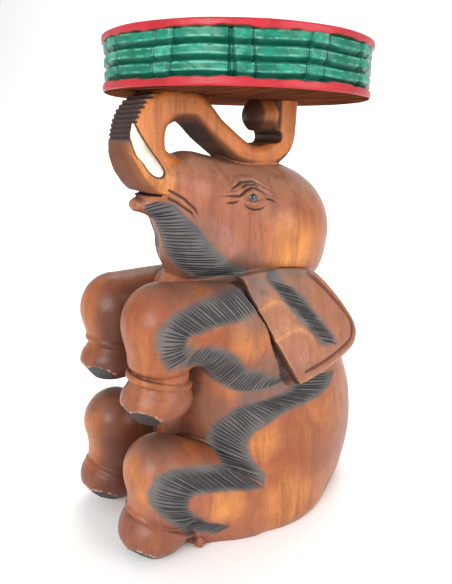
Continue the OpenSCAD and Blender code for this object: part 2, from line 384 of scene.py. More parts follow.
def tail(p):
    """The tail hangs down the back and ends in a tuft that lies to the left."""
    d = limb(p, (0, 170, 132), (9, 8, 9), (0, 177, 96), (7.5, 7.5, 7.5))
    d = blend(d, limb(p, (0, 177, 96), (7.5, 7.5, 7.5), (6, 176, 74), (7, 7, 7)), 4)
    return blend(d, limb(p, (6, 176, 70), (8, 8, 10), (8, 174, 59), (9, 9, 15)), 3)


class Foot:
    """An egg-shaped foot with a flat facet for each toenail, at bearings from straight ahead."""

    def __init__(self, centre, radii, tilt, depth, bearings):
        self.centre, self.radii, self.facets = centre, radii, []
        for bearing in bearings:
            a, t = math.radians(bearing), math.radians(tilt)
            n = (math.sin(a) * math.cos(t), -math.cos(a) * math.cos(t), -math.sin(t))
            reach = math.sqrt(sum((radii[i] * n[i]) ** 2 for i in range(3)))
            self.facets.append((n, sum(centre[i] * n[i] for i in range(3)) + reach - depth))

    def field(self, p):
        d = egg(p, self.centre, self.radii)
        for n, level in self.facets:
            d = carve(d, level - sum(p[i] * n[i] for i in range(3)), 0.8)
        return d

    def nail_masks(self, points, normals, lift):
        """1 on the flat of a facet, and 1 on its chipped upper edge."""
        nail, chipped = np.zeros(len(points)), np.zeros(len(points))
        side = np.abs(points[:, 0])
        outward = np.where(points[:, 0] < 0, -1, 1) * normals[:, 0]
        for n, level in self.facets:
            plane = side * n[0] + points[:, 1] * n[1] + (points[:, 2] - lift) * n[2] - level
            square = outward * n[0] + normals[:, 1] * n[1] + normals[:, 2] * n[2]
            near = ramp(np.abs(plane), 2.2, 1.2)
            nail = np.maximum(nail, near * ramp(square, 0.90, 0.97))
            edge = near * ramp(square, 0.80, 0.90) * (normals[:, 2] > n[2] + 0.05)
            chipped = np.maximum(chipped, edge)
        return nail, chipped * (1 - nail)


FOREFOOT = Foot((53, -128, 180), (35, 37, 25), 35, 3.2, (-40, 0, 40))
HIND_FOOT = Foot((53, -131, 31), (38, 40, 32), 40, 2.8, (-42, -4, 32))


def roll(p, middle, radii, size, level, thickness):
    """A ring of wood round a leg; level is each point's height above the ring's middle."""
    reach = length((p[0] - middle[0]) / radii[0], (p[1] - middle[1]) / radii[1]) - 1
    return length(reach * size, level) - thickness


def foreleg(p, knee_z, lift):
    """A foreleg; lift raises the wrist and the foot."""
    d = egg(p, (58, 4, 226), (34, 82, 72))
    d = blend(d, limb(p, (56, -36, 238), (40, 50, 48), (53, -123, knee_z), (37, 37.5, 40)), 10)
    d = blend(d, limb(p, (53, -123, knee_z - 4), (36, 36, 34), (53, -123, 220), (33, 33, 22)), 8)
    q = (p[0], p[1], p[2] - lift)
    d = blend(d, limb(q, (53, -123, 204), (28, 29, 20), (53, -127, 186), (31, 32, 16)), 3)
    d = blend(d, FOREFOOT.field(q), 5)
    level = q[2] - 199.5 + (p[1] + 122) * 0.24
    return blend(d, roll(p, (52, -124), (27.5, 29), 28, level, 4.7), 0.8)


def hind_leg(p, knee_z, lift):
    """A folded hind leg with a tab behind its foot; lift raises the underside of the foot."""
    thigh = limb(p, (53, -127, knee_z), (37, 36, 37), (70, -30, 38), (38, 52, 47))
    shin = limb(p, (53, -126, knee_z - 4), (36, 34, 34), (58, -116, 56), (37, 37, 26))
    d = blend(thigh, shin, 6)
    d = blend(d, limb(p, (60, -78, 20), (26, 28, 34), (74, -24, 20), (34, 52, 34)), 10)
    d = blend(d, limb(p, (54, -124, 82), (34, 34, 20), (54, -124, 60), (35.5, 35.5, 15)), 6)
    d = blend(d, HIND_FOOT.field((p[0], p[1], p[2] - lift)), 1.5)
    level = p[2] - 57 + 0.6 * np.maximum(p[1] + 160, 0)
    d = blend(d, roll(p, (54, -124), (36, 36), 36, level, 1.8), 5)
    return blend(d, egg(p, (80, -93, 9), (9, 6, 8)), 2)


def leg_heights(x):
    """Knee heights and foot lifts, which differ a little from left to right."""
    left = np.clip(x / 12, -1, 1)
    return {"knee_z": KNEE_MIDDLE + KNEE_DIFFERENCE * left, "lift": 1.5 - 4 * left,
            "hind_knee_z": HIND_KNEE_MIDDLE + HIND_KNEE_DIFFERENCE * left,
            "hind_lift": 2 - 4 * left}


def head(p):
    """The skull, the cheeks, the snout, the neck and the brow."""
    d = egg(p, (0, 36, 331), (76, 87, 76))
    d = blend(d, limb(p, (0, 20, 346), (66, 70, 60), (0, -64, 377), (38, 40, 41)), 12)
    d = blend(d, limb(p, (0, -34, 318), (56, 60, 45), (0, -54, 348), (42, 47, 26)), 12)
    d = blend(d, limb(p, (0, -64, 377), (38, 40, 36), (0, -104, 392), (31, 22, 15)), 10)
    d = blend(d, egg(p, (0, -48, 322), (48, 45, 42)), 12)
    d = blend(d, egg(p, (0, 36, 301), (70, 81, 50)), 12)
    return blend(d, egg(p, (32, -20, 368), (25, 34, 25)), 12)


def lower_lip(p):
    """The lower jaw, and the pointed lip that juts out from it."""
    d = limb(p, (0, -66, 352), (34, 30, 18), (0, -100, 364), (24, 14, 11))
    return blend(d, limb(p, (0, -102, 364), (23, 13, 11), (0, -120, 365), (12, 7, 7)), 5)


def ear_place(p):
    """Where a point lies on the ear's leaning board: out from its back face, and down it."""
    drop = EAR_ROOT_Z - p[2]
    out = (p[0] - EAR_ROOT_X) * math.cos(EAR_LEAN) - drop * math.sin(EAR_LEAN)
    down = (p[0] - EAR_ROOT_X) * math.sin(EAR_LEAN) + drop * math.cos(EAR_LEAN)
    return out, EAR_ROOT_Z - down * math.cos(EAR_LEAN)


# A box that holds the left ear and the wood round it
EAR_BOX = ((60, -60, 165), (200, 125, 308))
# Clearance round an ear's board, the extra width of the undercut, and the depth of the bed
EAR_CLEARANCE, EAR_UNDERCUT, EAR_BED = 0.4, 4.6, 0.6
# Wood round a tusk's root, how far it stands out, and how much the pocket grips the tusk
COLLAR_WIDTH, COLLAR_RISE, POCKET_GRIP = 5.5, 3.4, 0.7


def in_ear_box(p):
    """Whether each point is in that box."""
    return np.logical_and.reduce([(p[i] > EAR_BOX[0][i]) & (p[i] < EAR_BOX[1][i])
                                  for i in range(3)])


def ear_housing(p):
    """The flat bed cut for an ear, with an undercut gap in front of the board."""
    d = np.full(p[0].shape, 50.0, p[0].dtype)
    near = in_ear_box(p)
    if near.any():
        q = [part[near] for part in p]
        out, height = ear_place(q)
        gap = EAR_CLEARANCE + EAR_UNDERCUT * ramp(-q[1], -36, 0) * ramp(height, 294, 280)
        d[near] = np.maximum(outline_distance(q[1], height, EAR_OUTLINE) - gap, EAR_BED - out)
    return d


def add_trunk(skull, side):
    """Joins the trunk to the skull, makes the tusks' collars and pockets, and cuts the mouth."""
    skull = blend(skull, trunk(side), 3 + 9 * ramp(-side[1], 50, 75))
    ivory = tusk(side)
    slope = side[2] - 398 + 0.6 * (side[1] + 110)
    collar = np.maximum(ivory - COLLAR_WIDTH, side[0] - TRUNK_HALF_WIDTH - COLLAR_RISE)
    skull = blend(skull, np.maximum(collar, slope), 3)
    skull = np.maximum(skull, -ivory - POCKET_GRIP)
    mouth = limb(side, (0, -130, 378), (30, 14, 2.6), (0, -108, 376), (36, 6, 1.2))
    return carve(skull, mouth, 1.5)


def carving(p):
    """Everything that is carved from wood in one piece, apart from the ears.

    Each part is worked out only at the heights that it can reach.
    """
    side = (np.abs(p[0]), p[1], p[2])
    low, high = p[2].min(), p[2].max()
    d = torso(side)
    legs = leg_heights(p[0])
    if low < 170:
        d = blend(d, tail(p), 2.5)
        d = blend(d, hind_leg(side, legs["hind_knee_z"], legs["hind_lift"]), 2.5)
    if high > 120:
        d = blend(d, foreleg(side, legs["knee_z"], legs["lift"]), 3)
    if high > 225:
        skull = blend(head(side), lower_lip(side), 7)
        if high > 355:
            skull = add_trunk(skull, side)
        d = blend(d, skull, 3.5)
    if high > 150:
        d = np.maximum(d, -ear_housing(side))
    return np.maximum(np.maximum(d, -p[2]), p[2] - TOP_UNDERSIDE)


# ---------------------------------------------------------------- meshing

CHUNK = 40000


def evaluate(field, p):
    """Runs a field over long arrays of points, a share at a time on each processor."""
    count = len(p[0])
    parts = [slice(i, min(i + CHUNK, count)) for i in range(0, count, CHUNK)]
    with ThreadPoolExecutor(4) as pool:
        done = list(pool.map(lambda part: field([axis[part] for axis in p]), parts))
    return np.concatenate(done)


def mesh_field(field, low, high, step):
    """Meshes a field's zero surface, working out only the blocks of 8 cells that are near it."""
    low = np.array(low, float)
    blocks = np.ceil((np.array(high) - low) / (step * 8)).astype(int) + 1
    middles = [low[i] + (np.arange(blocks[i]) * 8 + 3.5) * step for i in range(3)]
    p = [axis.ravel().astype(np.float32) for axis in np.meshgrid(*middles, indexing="ij")]
    order = np.argsort(p[2], kind="stable")
    rough = np.empty(len(p[0]), np.float32)
    rough[order] = evaluate(field, [axis[order] for axis in p])
    rough = rough.reshape(blocks)
    grid = np.where(rough > 0, 3 * step, -3 * step).astype(np.float32)
    grid = grid.repeat(8, 0).repeat(8, 1).repeat(8, 2)
    near = np.argwhere(np.abs(rough) < 11 * step)
    near = near[np.argsort(near[:, 2], kind="stable")]
    cell = np.stack(np.meshgrid(*[np.arange(8)] * 3, indexing="ij"), -1).reshape(1, -1, 3)
    index = (near[:, None, :] * 8 + cell).reshape(-1, 3)
    p = [(low[i] + index[:, i] * step).astype(np.float32) for i in range(3)]
    grid[index[:, 0], index[:, 1], index[:, 2]] = evaluate(field, p)
    volume = openvdb.FloatGrid(3.0 * step)
    volume.copyFromArray(grid, tolerance=0.0)
    points, quads = volume.convertToQuads(isovalue=0.0)
    points = points.astype(float) * step + low
    a, b, c = (points[quads[:, i]] for i in range(3))
    if np.einsum("ij,ij->", np.cross(b - a, c - a), a + b + c) < 0:
        quads = quads[:, ::-1]
    return points, quads


def numpy_mesh(name, points, faces):
    """A smooth mesh from arrays, in millimetres."""
    mesh = bpy.data.meshes.new(name)
    mesh.from_pydata((points * MM).tolist(), [], [list(map(int, face)) for face in faces])
    mesh.shade_smooth()
    return mesh


def add_layers(mesh, layers):
    """Stores each layer of numbers as a float attribute of the mesh's points."""
    for key, values in layers.items():
        attribute = mesh.attributes.new(key, "FLOAT", "POINT")
        attribute.data.foreach_set("value", np.asarray(values).astype(np.float32))


def read_points(mesh):
    points = np.empty(len(mesh.vertices) * 3)
    mesh.vertices.foreach_get("co", points)
    return points.reshape(-1, 3) / MM


def read_normals(mesh):
    normals = np.empty(len(mesh.vertices) * 3)
    mesh.vertex_normals.foreach_get("vector", normals)
    return normals.reshape(-1, 3)


def refine(mesh, wanted):
    """Halves the faces whose vertices are all marked."""
    bm = bmesh.new()
    bm.from_mesh(mesh)
    edges = [e for e in bm.edges if wanted[e.verts[0].index] and wanted[e.verts[1].index]]
    bmesh.ops.subdivide_edges(bm, edges=edges, cuts=1, use_grid_fill=True)
    bmesh.ops.triangulate(bm, faces=[f for f in bm.faces if len(f.verts) > 4])
    bm.to_mesh(mesh)
    bm.free()
    mesh.shade_smooth()


# ---------------------------------------------------------------- strokes cut into the surface

class Stroke:
    """A cut or a raised line, drawn in a view from the side or the front.

    turn is the view's bearing: 90 is the side view and 0 the front view. A point is (across,
    height), and across is Y in the side view and the distance from the middle in the front view.
    """

    def __init__(self, points, half_width, depth, turn=90, taper=(1, 1), member=None,
                 mask="line", front_of=300):
        self.points = np.array(points, float)
        self.half_width, self.depth = half_width, depth
        self.turn, self.taper, self.member = math.radians(turn), taper, member
        self.mask, self.front_of = mask, front_of


def view_of(points, turn):
    """Where each point is in a view: across it, and its height."""
    across = np.abs(points[:, 0]) * math.cos(turn) + points[:, 1] * math.sin(turn)
    return across, points[:, 2]


def facing(points, normals, turn):
    """How squarely the surface faces that view."""
    outward = np.where(points[:, 0] < 0, -1, 1) * normals[:, 0]
    return outward * math.sin(turn) - normals[:, 1] * math.cos(turn)


def in_window(across, height, low, high):
    """Indices of the points inside a window of a view."""
    return np.nonzero((across > low[0]) & (across < high[0])
                      & (height > low[1]) & (height < high[1]))[0]


def stroke_reach(stroke, across, height, margin):
    """Which points are near a stroke, their distance from it, and how far along it they are."""
    low = stroke.points.min(0) - stroke.half_width - margin
    high = stroke.points.max(0) + stroke.half_width + margin
    near = in_window(across, height, low, high)
    best = np.full(len(near), 1e9)
    along = np.zeros(len(near))
    count = len(stroke.points) - 1
    for i in range(count):
        t, d = along_segment(across[near], height[near], *stroke.points[i:i + 2])
        closer = d < best
        best[closer] = d[closer]
        along[closer] = ((i + t) / count)[closer]
    return near, best, along


class Band:
    """A charred band of fur strokes: each runs from a point of one edge to one of the other."""

    def __init__(self, ribs, pitch, member, turn=90, soft=4.0, reach=3.0):
        self.ribs = np.array(ribs, float)
        self.pitch, self.member, self.turn = pitch, member, turn
        self.soft, self.reach = soft, reach

    def strokes(self, rng):
        steps = np.hypot(*np.diff(self.ribs.mean(1), axis=0).T)
        along = np.concatenate([[0], np.cumsum(steps)])
        count = int(along[-1] / self.pitch)
        for place in (np.arange(count) + 0.5) * along[-1] / count:
            place += rng.uniform(-0.18, 0.18) * self.pitch
            start, end = (np.array([np.interp(place, along, self.ribs[:, i, j])
                                    for j in (0, 1)]) for i in (0, 1))
            heading = (end - start) / max(np.hypot(*(end - start)), 1e-6)
            end = end + heading * rng.uniform(-0.5, 1.0) * self.reach
            start = start - heading * rng.uniform(-0.6, 0.6) * self.reach
            bow = np.array([-heading[1], heading[0]]) * rng.uniform(-0.5, 0.8)
            middle = (start + end) / 2 + bow
            yield Stroke([start, middle, end], 0.36 * self.pitch, 0.85, self.turn,
                         (0.5, 0.35), self.member, "groove")

    def outline(self):
        return np.concatenate([self.ribs[:, 0], self.ribs[::-1, 1]])


# Bands on the forelegs, the flank and the thigh, seen from the side. Each pair is a stroke of
# the band, as its two ends, and more strokes are drawn between the pairs.
KNEE_BAND = Band([
    ((-6, 262), (-20, 284)), ((-33, 262), (-48, 286)), ((-50, 257), (-68, 285)),
    ((-78, 256), (-103, 281)), ((-97, 253), (-125, 276)), ((-111, 251), (-136, 270)),
    ((-114, 250), (-144, 261)), ((-116, 245), (-145, 248)), ((-115, 238), (-140, 232)),
    ((-109, 229), (-132, 218))], 3.7, "foreleg")
HAUNCH_BAND = Band([
    ((-114, 217), (-104, 236)), ((-99, 215), (-90, 238)), ((-84, 206), (-72, 231)),
    ((-68, 188), (-55, 218)),
    ((-52, 174), (-38, 200)), ((-37, 166), (-22, 194)), ((-18, 161), (-2, 181)),
    ((10, 162), (24, 177))], 3.6, "foreleg")
FLANK_BAND = Band([
    ((36, 176), (98, 166)), ((22, 166), (80, 153)), ((8, 160), (54, 146)),
    ((-6, 157), (28, 143)), ((-24, 155), (6, 138)), ((-38, 153), (-11, 129)),
    ((-47, 148), (-24, 122)), ((-56, 140), (-31, 114)), ((-65, 131), (-33, 105)),
    ((-69, 120), (-31, 97)), ((-70, 110), (-25, 84)), ((-68, 100), (-17, 73)),
    ((-62, 92), (-20, 62))], 3.6, None, soft=2.5)
THIGH_BAND = Band([
    ((-22, 61), (-62, 97)), ((-42, 64), (-76, 100)), ((-57, 69), (-92, 104)),
    ((-76, 74), (-108, 109)), ((-93, 78), (-131, 114)), ((-106, 80), (-146, 109)),
    ((-113, 76), (-154, 93)), ((-115, 68), (-152, 78)), ((-107, 55), (-141, 63)),
    ((-95, 43), (-126, 47)), ((-90, 36), (-114, 31)),
    ((-78, 33), (-98, 22)), ((-64, 27), (-76, 15))], 3.7, "hind_leg", soft=2.5)
# The throat's band wraps from the front to the cheek, so it is seen from between them
CHEEK_BAND = Band([
    ((-48, 366), (-30, 373)), ((-48, 358), (-20, 366)), ((-48, 350), (-11, 355)),
    ((-47, 341), (-2, 345)), ((-46, 332), (6, 335)), ((-43, 322), (13, 325)),
    ((-37, 312), (23, 314)), ((-26, 302), (32, 303)), ((-10, 292), (43, 292))], 3.6,
    "head", turn=30, soft=2.0)
BANDS = [KNEE_BAND, HAUNCH_BAND, FLANK_BAND, THIGH_BAND, CHEEK_BAND]


def near_eye(*offsets):
    """Places given as (back, up) from the middle of the eye."""
    return [(EYE_PLACE[1] + back, EYE_PLACE[2] + up) for back, up in offsets]


def face_lines():
    """Lids, wrinkles, the corner of the mouth and the crease of the jaw."""
    upper_lid = near_eye((-12, 0.5), (-6, 4.5), (0, 6.5), (6, 5), (14, 0))
    lower_lid = near_eye((-12, -1.5), (-5, -5), (1, -6), (7, -4.5), (14, -0.5))
    cuts = [
        near_eye((-40, 2), (-27, 3), (-15, 2.5), (-7, 7.5), (1, 10.5), (9, 9), (18, 4), (31, 0)),
        near_eye((-25, 7.5), (-18, 11.5), (-8, 16.5), (6, 16.5), (17, 11), (30, 4.5)),
        near_eye((-30, -4.5), (-22, -4), (-14, -1.5)),
        near_eye((14, 0), (21, -1.5), (28, -5)),
        near_eye((-14, -4), (-6, -9.5), (1, -11.5), (10, -10), (15, -5)),
        near_eye((-14, 9), (-4, 13.5), (6, 13), (14, 8.5)),
    ]
    folds = [
        near_eye((-30, 5), (-16, 6), (-7, 11.5), (2, 13.5), (12, 11), (24, 4)),
        near_eye((-20, 14), (-8, 20), (6, 20), (20, 13)),
        near_eye((-12, -7.5), (0, -14), (13, -9)),
    ]
    face = {"member": "head"}
    lines = [Stroke(upper_lid, 3.6, -2.8, taper=(0.4, 0.4), **face),
             Stroke(lower_lid, 3.2, -2.0, taper=(0.4, 0.4), **face)]
    lines += [Stroke(cut, 1.7, 1.7, taper=(0.15, 0.15), **face) for cut in cuts]
    lines += [Stroke(fold, 2.8, -1.2, taper=(0.1, 0.1), **face) for fold in folds]
    jaw = [[(-108, 377), (-92, 369), (-78, 359), (-72, 348)],
           [(-100, 381), (-86, 373), (-74, 362), (-68, 350)]]
    lines += [Stroke(cut, 1.9, 1.4, taper=(1, 0.2), **face) for cut in jaw]
    lines.append(Stroke([(-104, 379), (-88, 371), (-74, 358)], 2.6, -1.0, taper=(1, 0.2), **face))
    return lines


def trunk_ridges():
    """Ten level cuts across the front of the trunk, below the tabletop."""
    return [Stroke([(0, z), (27, z + 1)], 2.0, 1.7, turn=0, member="trunk", mask="groove",
                   front_of=-88) for z in 429 + 4.6 * np.arange(10)]


# ---------------------------------------------------------------- the carved wood

def surface_members(points):
    """Which part of the elephant each point of the surface belongs to."""
    p = [np.ascontiguousarray(points[:, i]) for i in range(3)]
    side = [np.abs(p[0]), p[1], p[2]]
    legs = leg_heights(p[0])
    return {
        "foreleg": foreleg(side, legs["knee_z"], legs["lift"]),
        "hind_leg": hind_leg(side, legs["hind_knee_z"], legs["hind_lift"]),
        "tusk": tusk(side),
        "head": np.minimum(head(side), lower_lip(side)),
        "trunk": trunk(side),
        "tail": tail(p),
    }


def make_carving():
    """The whole carving as one mesh, with its cuts and its paint masks."""
    points, quads = mesh_field(carving, (-122, -182, -8), (122, 192, 482), VOXEL)
    mesh = numpy_mesh("carving", points, quads)
    rng = np.random.default_rng(SEED)
    strokes = [s for band in BANDS for s in band.strokes(rng)]
    strokes += face_lines() + trunk_ridges()
    refine(mesh, near_strokes(read_points(mesh), read_normals(mesh), strokes))
    points, normals = read_points(mesh), read_normals(mesh)
    p = [np.ascontiguousarray(points[:, i]) for i in range(3)]
    points -= normals * np.clip(evaluate(carving, p), -1, 1)[:, None]
    members = surface_members(points)
    cut, layers = draw_strokes(points, normals, strokes, members)
    # A shallow groove round each tusk, darkened as painted shade where a gap would be.
    outline = ramp(members["tusk"], 2.0, 0.8) * (members["tusk"] > -0.3)
    cut = cut + TUSK_GROOVE_DEPTH * outline
    layers["line"] = np.maximum(layers["line"], outline)
    layers.update(paint_masks(points, normals, members, layers["line"]))
    points += normals * (tool_marks(points) - cut)[:, None]
    points[:, 2] = np.clip(points[:, 2], 0, TOP_UNDERSIDE)
    mesh.vertices.foreach_set("co", (points * MM).ravel())
    add_layers(mesh, layers)
    mesh.update()
    return mesh


def near_strokes(points, normals, strokes):
    """Marks the points beside the strokes, on outward faces, and round the tusks."""
    wanted = np.zeros(len(points), bool)
    for stroke in strokes:
        across, height = view_of(points, stroke.turn)
        near, distance, _ = stroke_reach(stroke, across, height, 3)
        wanted[near[distance < stroke.half_width + 2.5]] = True
    wanted &= facing(points, normals, math.radians(90)) > 0.0
    p = [np.abs(points[:, 0]), points[:, 1], points[:, 2]]
    return wanted | (np.abs(tusk(p) - 1) < 2.5)


def draw_strokes(points, normals, strokes, members):
    """How deep the surface is cut, in millimetres, and the masks that follow the cuts."""
    cut = np.zeros(len(points))
    raised = np.zeros(len(points))
    masks = {"groove": np.zeros(len(points)), "line": np.zeros(len(points))}
    for stroke in strokes:
        across, height = view_of(points, stroke.turn)
        near, distance, along = stroke_reach(stroke, across, height, 1)
        ends = stroke.taper[0] + (1 - stroke.taper[0]) * ramp(along, 0, 0.25)
        ends *= stroke.taper[1] + (1 - stroke.taper[1]) * ramp(along, 1, 0.6)
        width = stroke.half_width * (0.35 + 0.65 * ends)
        shape = np.clip(1 - distance / width, 0, 1)
        shape *= ends * ramp(facing(points[near], normals[near], stroke.turn), 0.1, 0.35)
        shape *= points[near, 1] < stroke.front_of
        if stroke.member:
            shape *= members[stroke.member][near] < 2.5
        if stroke.depth > 0:
            cut[near] = np.maximum(cut[near], stroke.depth * shape)
            masks[stroke.mask][near] = np.maximum(masks[stroke.mask][near], shape)
        else:
            raised[near] = np.maximum(raised[near], -stroke.depth * shape * (2 - shape))
    return cut - raised, masks


def band_mask(points, normals, members, band):
    """1 on a band's charred wood, fading softly at its edges."""
    turn = math.radians(band.turn)
    across, height = view_of(points, turn)
    outline = band.outline()
    near = in_window(across, height, outline.min(0) - 12, outline.max(0) + 12)
    d = outline_distance(across[near], height[near], outline)
    mask = np.zeros(len(points))
    mask[near] = ramp(d, band.soft, -band.soft)
    mask *= ramp(facing(points, normals, turn), 0.0, 0.3)
    if band.member:
        mask *= ramp(members[band.member], 4, 2)
    return mask


def spot(points, centre, radius):
    """1 at a place on either side of the elephant, fading to 0 at the radius."""
    d = np.hypot(np.hypot(np.abs(points[:, 0]) - centre[0], points[:, 1] - centre[1]),
                 points[:, 2] - centre[2])
    return ramp(d, radius, 0.25 * radius)


def hollow(points, normals, reach):
    """How deep in a crease a point lies, from the room in front of it."""
    ahead = points + normals * reach
    p = [np.ascontiguousarray(ahead[:, i]) for i in range(3)]
    return np.clip(1 - evaluate(carving, p) / reach, 0, 1.5)


def spots(points, places):
    """The strongest of several spots at each point, each a middle, a reach and a strength."""
    return np.maximum.reduce([strength * spot(points, centre, radius)
                              for centre, radius, strength in places])


# Places shaded with sprayed black: middle, reach and strength
SPRAYS = (((63, -53, 287), 34, 1.0), ((62, -26, 292), 44, 1.0), ((57, -80, 292), 26, 0.8),
          ((85, -14, 184), 30, 0.9), ((77, -26, 160), 30, 1.0), ((82, 0, 172), 34, 1.0),
          ((86, -64, 214), 24, 0.6), ((13, -89, 306), 30, 0.7), ((60, -112, 296), 48, 0.75),
          ((62, -134, 138), 46, 0.7), ((84, -40, 262), 40, 0.8), ((88, -8, 196), 34, 0.7),
          ((60, -60, 142), 40, 0.6), ((90, -96, 96), 30, 0.5), ((40, -70, 330), 44, 0.6),
          ((90, -150, 70), 24, 0.5), ((58, -64, 300), 44, 0.8))

# Places where the stain is rubbed through to orange wood, some of them painted highlight, such as
# on the cheek
ORANGE_AND_HIGHLIGHT_SPOTS = (((74, 24, 322), 48, 1.0), ((60, -158, 236), 44, 0.3),
         ((60, -158, 92), 42, 0.5), ((101, 60, 119), 60, 0.2), ((110, 10, 38), 60, 0.5),
         ((95, -44, 236), 36, 0.6), ((84, -20, 112), 34, 0.7), ((84, 60, 20), 60, 0.5),
         ((84, -156, 84), 24, 0.8), ((96, -70, 56), 34, 1.0))


def ridged_front(points, normals, members):
    """1 on the front of the trunk, where its ridges are."""
    return (ramp(-normals[:, 1], 0.25, 0.6) * ramp(points[:, 2], 422, 430)
            * ramp(members["trunk"], 4, 2))


def soot_mask(points, normals, members):
    """The charred bands, a patch under the knee, the trunk's ridges and the tail's tuft."""
    under_knee = spot(points, (88, -114, 230), 20) * ramp(normals[:, 2], -0.6, -0.2)
    ridges = ridged_front(points, normals, members) * ramp(-points[:, 1], 80, 95)
    tuft = ramp(members["tail"], 1.5, 0.3) * ramp(points[:, 2], 82, 72)
    bands = [band_mask(points, normals, members, band) for band in BANDS]
    return np.maximum.reduce([*bands, under_knee, ridges, tuft])


def painted_shade_mask(points, normals, members):
    """Painted shade in creases, under the trunk's arch, on its column and round its curled tip."""
    on_trunk = ramp(members["trunk"], 4, 2)
    under_arch = (ramp(-normals[:, 2], 0.0, 0.5) * on_trunk
                  * ramp(points[:, 2], 400, 412) * ramp(points[:, 1], -100, -85))
    column = (ramp(-normals[:, 1], 0.2, 0.55) * on_trunk
              * ramp(points[:, 2], 374, 384) * ramp(-points[:, 1], 104, 112))
    return np.maximum.reduce([ramp(hollow(points, normals, 7), 0.25, 0.9),
                              0.7 * ramp(hollow(points, normals, 18), 0.35, 1.0),
                              under_arch, 0.8 * spot(points, (14, 12, 458), 20), 0.7 * column])


def beside_ear(points):
    """1 on the body along the front edge of an ear: painted shade in the gap beside the board."""
    y, z = points[:, 1], points[:, 2]
    near = np.nonzero(in_ear_box([np.abs(points[:, 0]), y, z]) & (y < 60))[0]
    out, height = ear_place((np.abs(points[near, 0]), y[near], z[near]))
    mask = np.zeros(len(points))
    mask[near] = (ramp(outline_distance(y[near], height, EAR_OUTLINE), 6, 3.5)
                  * ramp(out, -18, -10))
    return mask * ramp(-y, -40, 0) * ramp(z, 296, 286)


def crease_shade_mask(points, normals, members, drawn):
    """The drawn cuts, darkened as painted shade, and painted shade in the creases beside the ears,
    the tail and the ridges.
    """
    beside_tail = ramp(members["tail"], 5, 1.5) * ramp(members["tail"], 0.2, 0.8)
    return np.maximum.reduce([drawn, beside_ear(points), 0.8 * beside_tail,
                              0.6 * ridged_front(points, normals, members)])


def feet_mask(points):
    """1 on all four feet."""
    fore = ramp(-points[:, 1], 84, 100) * ramp(np.abs(points[:, 2] - 176), 30, 22)
    hind = ramp(-points[:, 1], 84, 110) * ramp(points[:, 2], 66, 50)
    return np.clip(fore + hind, 0, 1)


def shade_and_dark_feet_mask(points, normals, members, feet):
    """Painted shade in deep hollows and on the inner faces of the legs, and darker feet, more so
    towards the bottom.
    """
    outward = np.where(points[:, 0] < 0, -1, 1) * normals[:, 0]
    on_leg = ramp(np.minimum(members["foreleg"], members["hind_leg"]), 4, 2)
    inner = on_leg * ramp(-outward, 0.15, 0.85) * ramp(-points[:, 1], 70, 100)
    return np.maximum.reduce([0.35 * ramp(hollow(points, normals, 42), 0.42, 1.0),
                              inner * ramp(np.abs(points[:, 0]), 60, 34),
                              feet * (0.3 + 0.2 * ramp(points[:, 2], 120, 80))])


def nail_layers(points, normals, members):
    """The black toenails and their chipped edges, on all four feet."""
    legs = leg_heights(points[:, 0])
    fore = FOREFOOT.nail_masks(points, normals, legs["lift"])
    hind = HIND_FOOT.nail_masks(points, normals, legs["hind_lift"])
    on_fore = (members["foreleg"] < 3) & (points[:, 2] > 120)
    on_hind = (members["hind_leg"] < 3) & (points[:, 2] < 60)
    return {name: np.maximum(fore[i] * on_fore, hind[i] * on_hind)
            for i, name in enumerate(("nail", "chipped"))}


def paint_masks(points, normals, members, drawn_lines):
    """Every mask that the wood's material reads, each from 0 to 1."""
    feet = feet_mask(points)
    on_trunk = ramp(members["trunk"], 3, 1)
    front = ramp(-normals[:, 1], 0.5, 0.9) * (points[:, 1] < -105)
    pale = ramp(points[:, 2], 396, 412) * on_trunk * (1 - 0.9 * front)
    on_head = ramp(members["head"], 4, 2) * ramp(points[:, 2], 300, 320) * (1 - pale)
    masks = {
        "soot": soot_mask(points, normals, members),
        # painted shade in creases, under the trunk's arch, on its column and round its curled tip
        "shade_paint": painted_shade_mask(points, normals, members),
        # painted shade in deep hollows and on the legs' inner faces, and darker feet
        "deep": shade_and_dark_feet_mask(points, normals, members, feet),
        # the drawn cuts and the tusks' outlines, darkened as painted shade, and painted shade
        # beside the ears, the tail and the trunk's ridges
        "line": crease_shade_mask(points, normals, members, drawn_lines),
        "spray": spots(points, SPRAYS),
        # orange where the stain is rubbed through, with painted highlight on bulges, the cheek and
        # the tusks' collars
        "rubbed_and_highlight": np.maximum(spots(points, ORANGE_AND_HIGHLIGHT_SPOTS), 0.8 * ramp(members["tusk"], 9, 5)),
        # painted shade on faces turned down and on the front of the trunk's column
        "under": np.maximum(ramp(-normals[:, 2], 0.3, 0.9), 0.8 * front * on_trunk),
        "pale": pale,
        # grey-brown on the head's upward faces: dust, and painted sheen
        "grey": on_head * ramp(normals[:, 2], 0.1, 0.8) * ramp(points[:, 2], 340, 390),
        "red": np.maximum(on_head * ramp(points[:, 1], 60, -10), 0.4 * feet),
    }
    return masks | nail_layers(points, normals, members)


def tool_marks(points):
    """The faint unevenness that a gouge and sandpaper leave, in millimetres."""
    x, y, z = (points[:, i] for i in range(3))
    broad = np.sin(x / 13 + 2 * np.sin(z / 29)) * np.sin(y / 15 + z / 23)
    fine = np.sin(x / 4.1 + y / 5.3 + 2 * np.sin(z / 11)) * np.sin(z / 6.7 + y / 9.1)
    return 0.28 * broad + 0.1 * fine


def plane_below(height, slope):
    """A glue face across the body that falls towards the back: a point of it and its normal."""
    return (0, 0, height), (0, math.sin(slope), math.cos(slope))


NECK = plane_below(NECK_HEIGHT, NECK_SLOPE)
TRUNK_FACE = plane_below(TRUNK_FACE_HEIGHT, TRUNK_FACE_SLOPE)
SPLIT = ((0, 0, LEG_SPLIT_HEIGHT), (0, 0, 1))


def leg_face(side):
    """The upright glue face of the legs on one side: a point of it and its normal."""
    return ((side * LEG_FACE_X, LEG_FACE_Y, 0),
            (side * math.cos(LEG_FACE_ANGLE), -math.sin(LEG_FACE_ANGLE), 0))


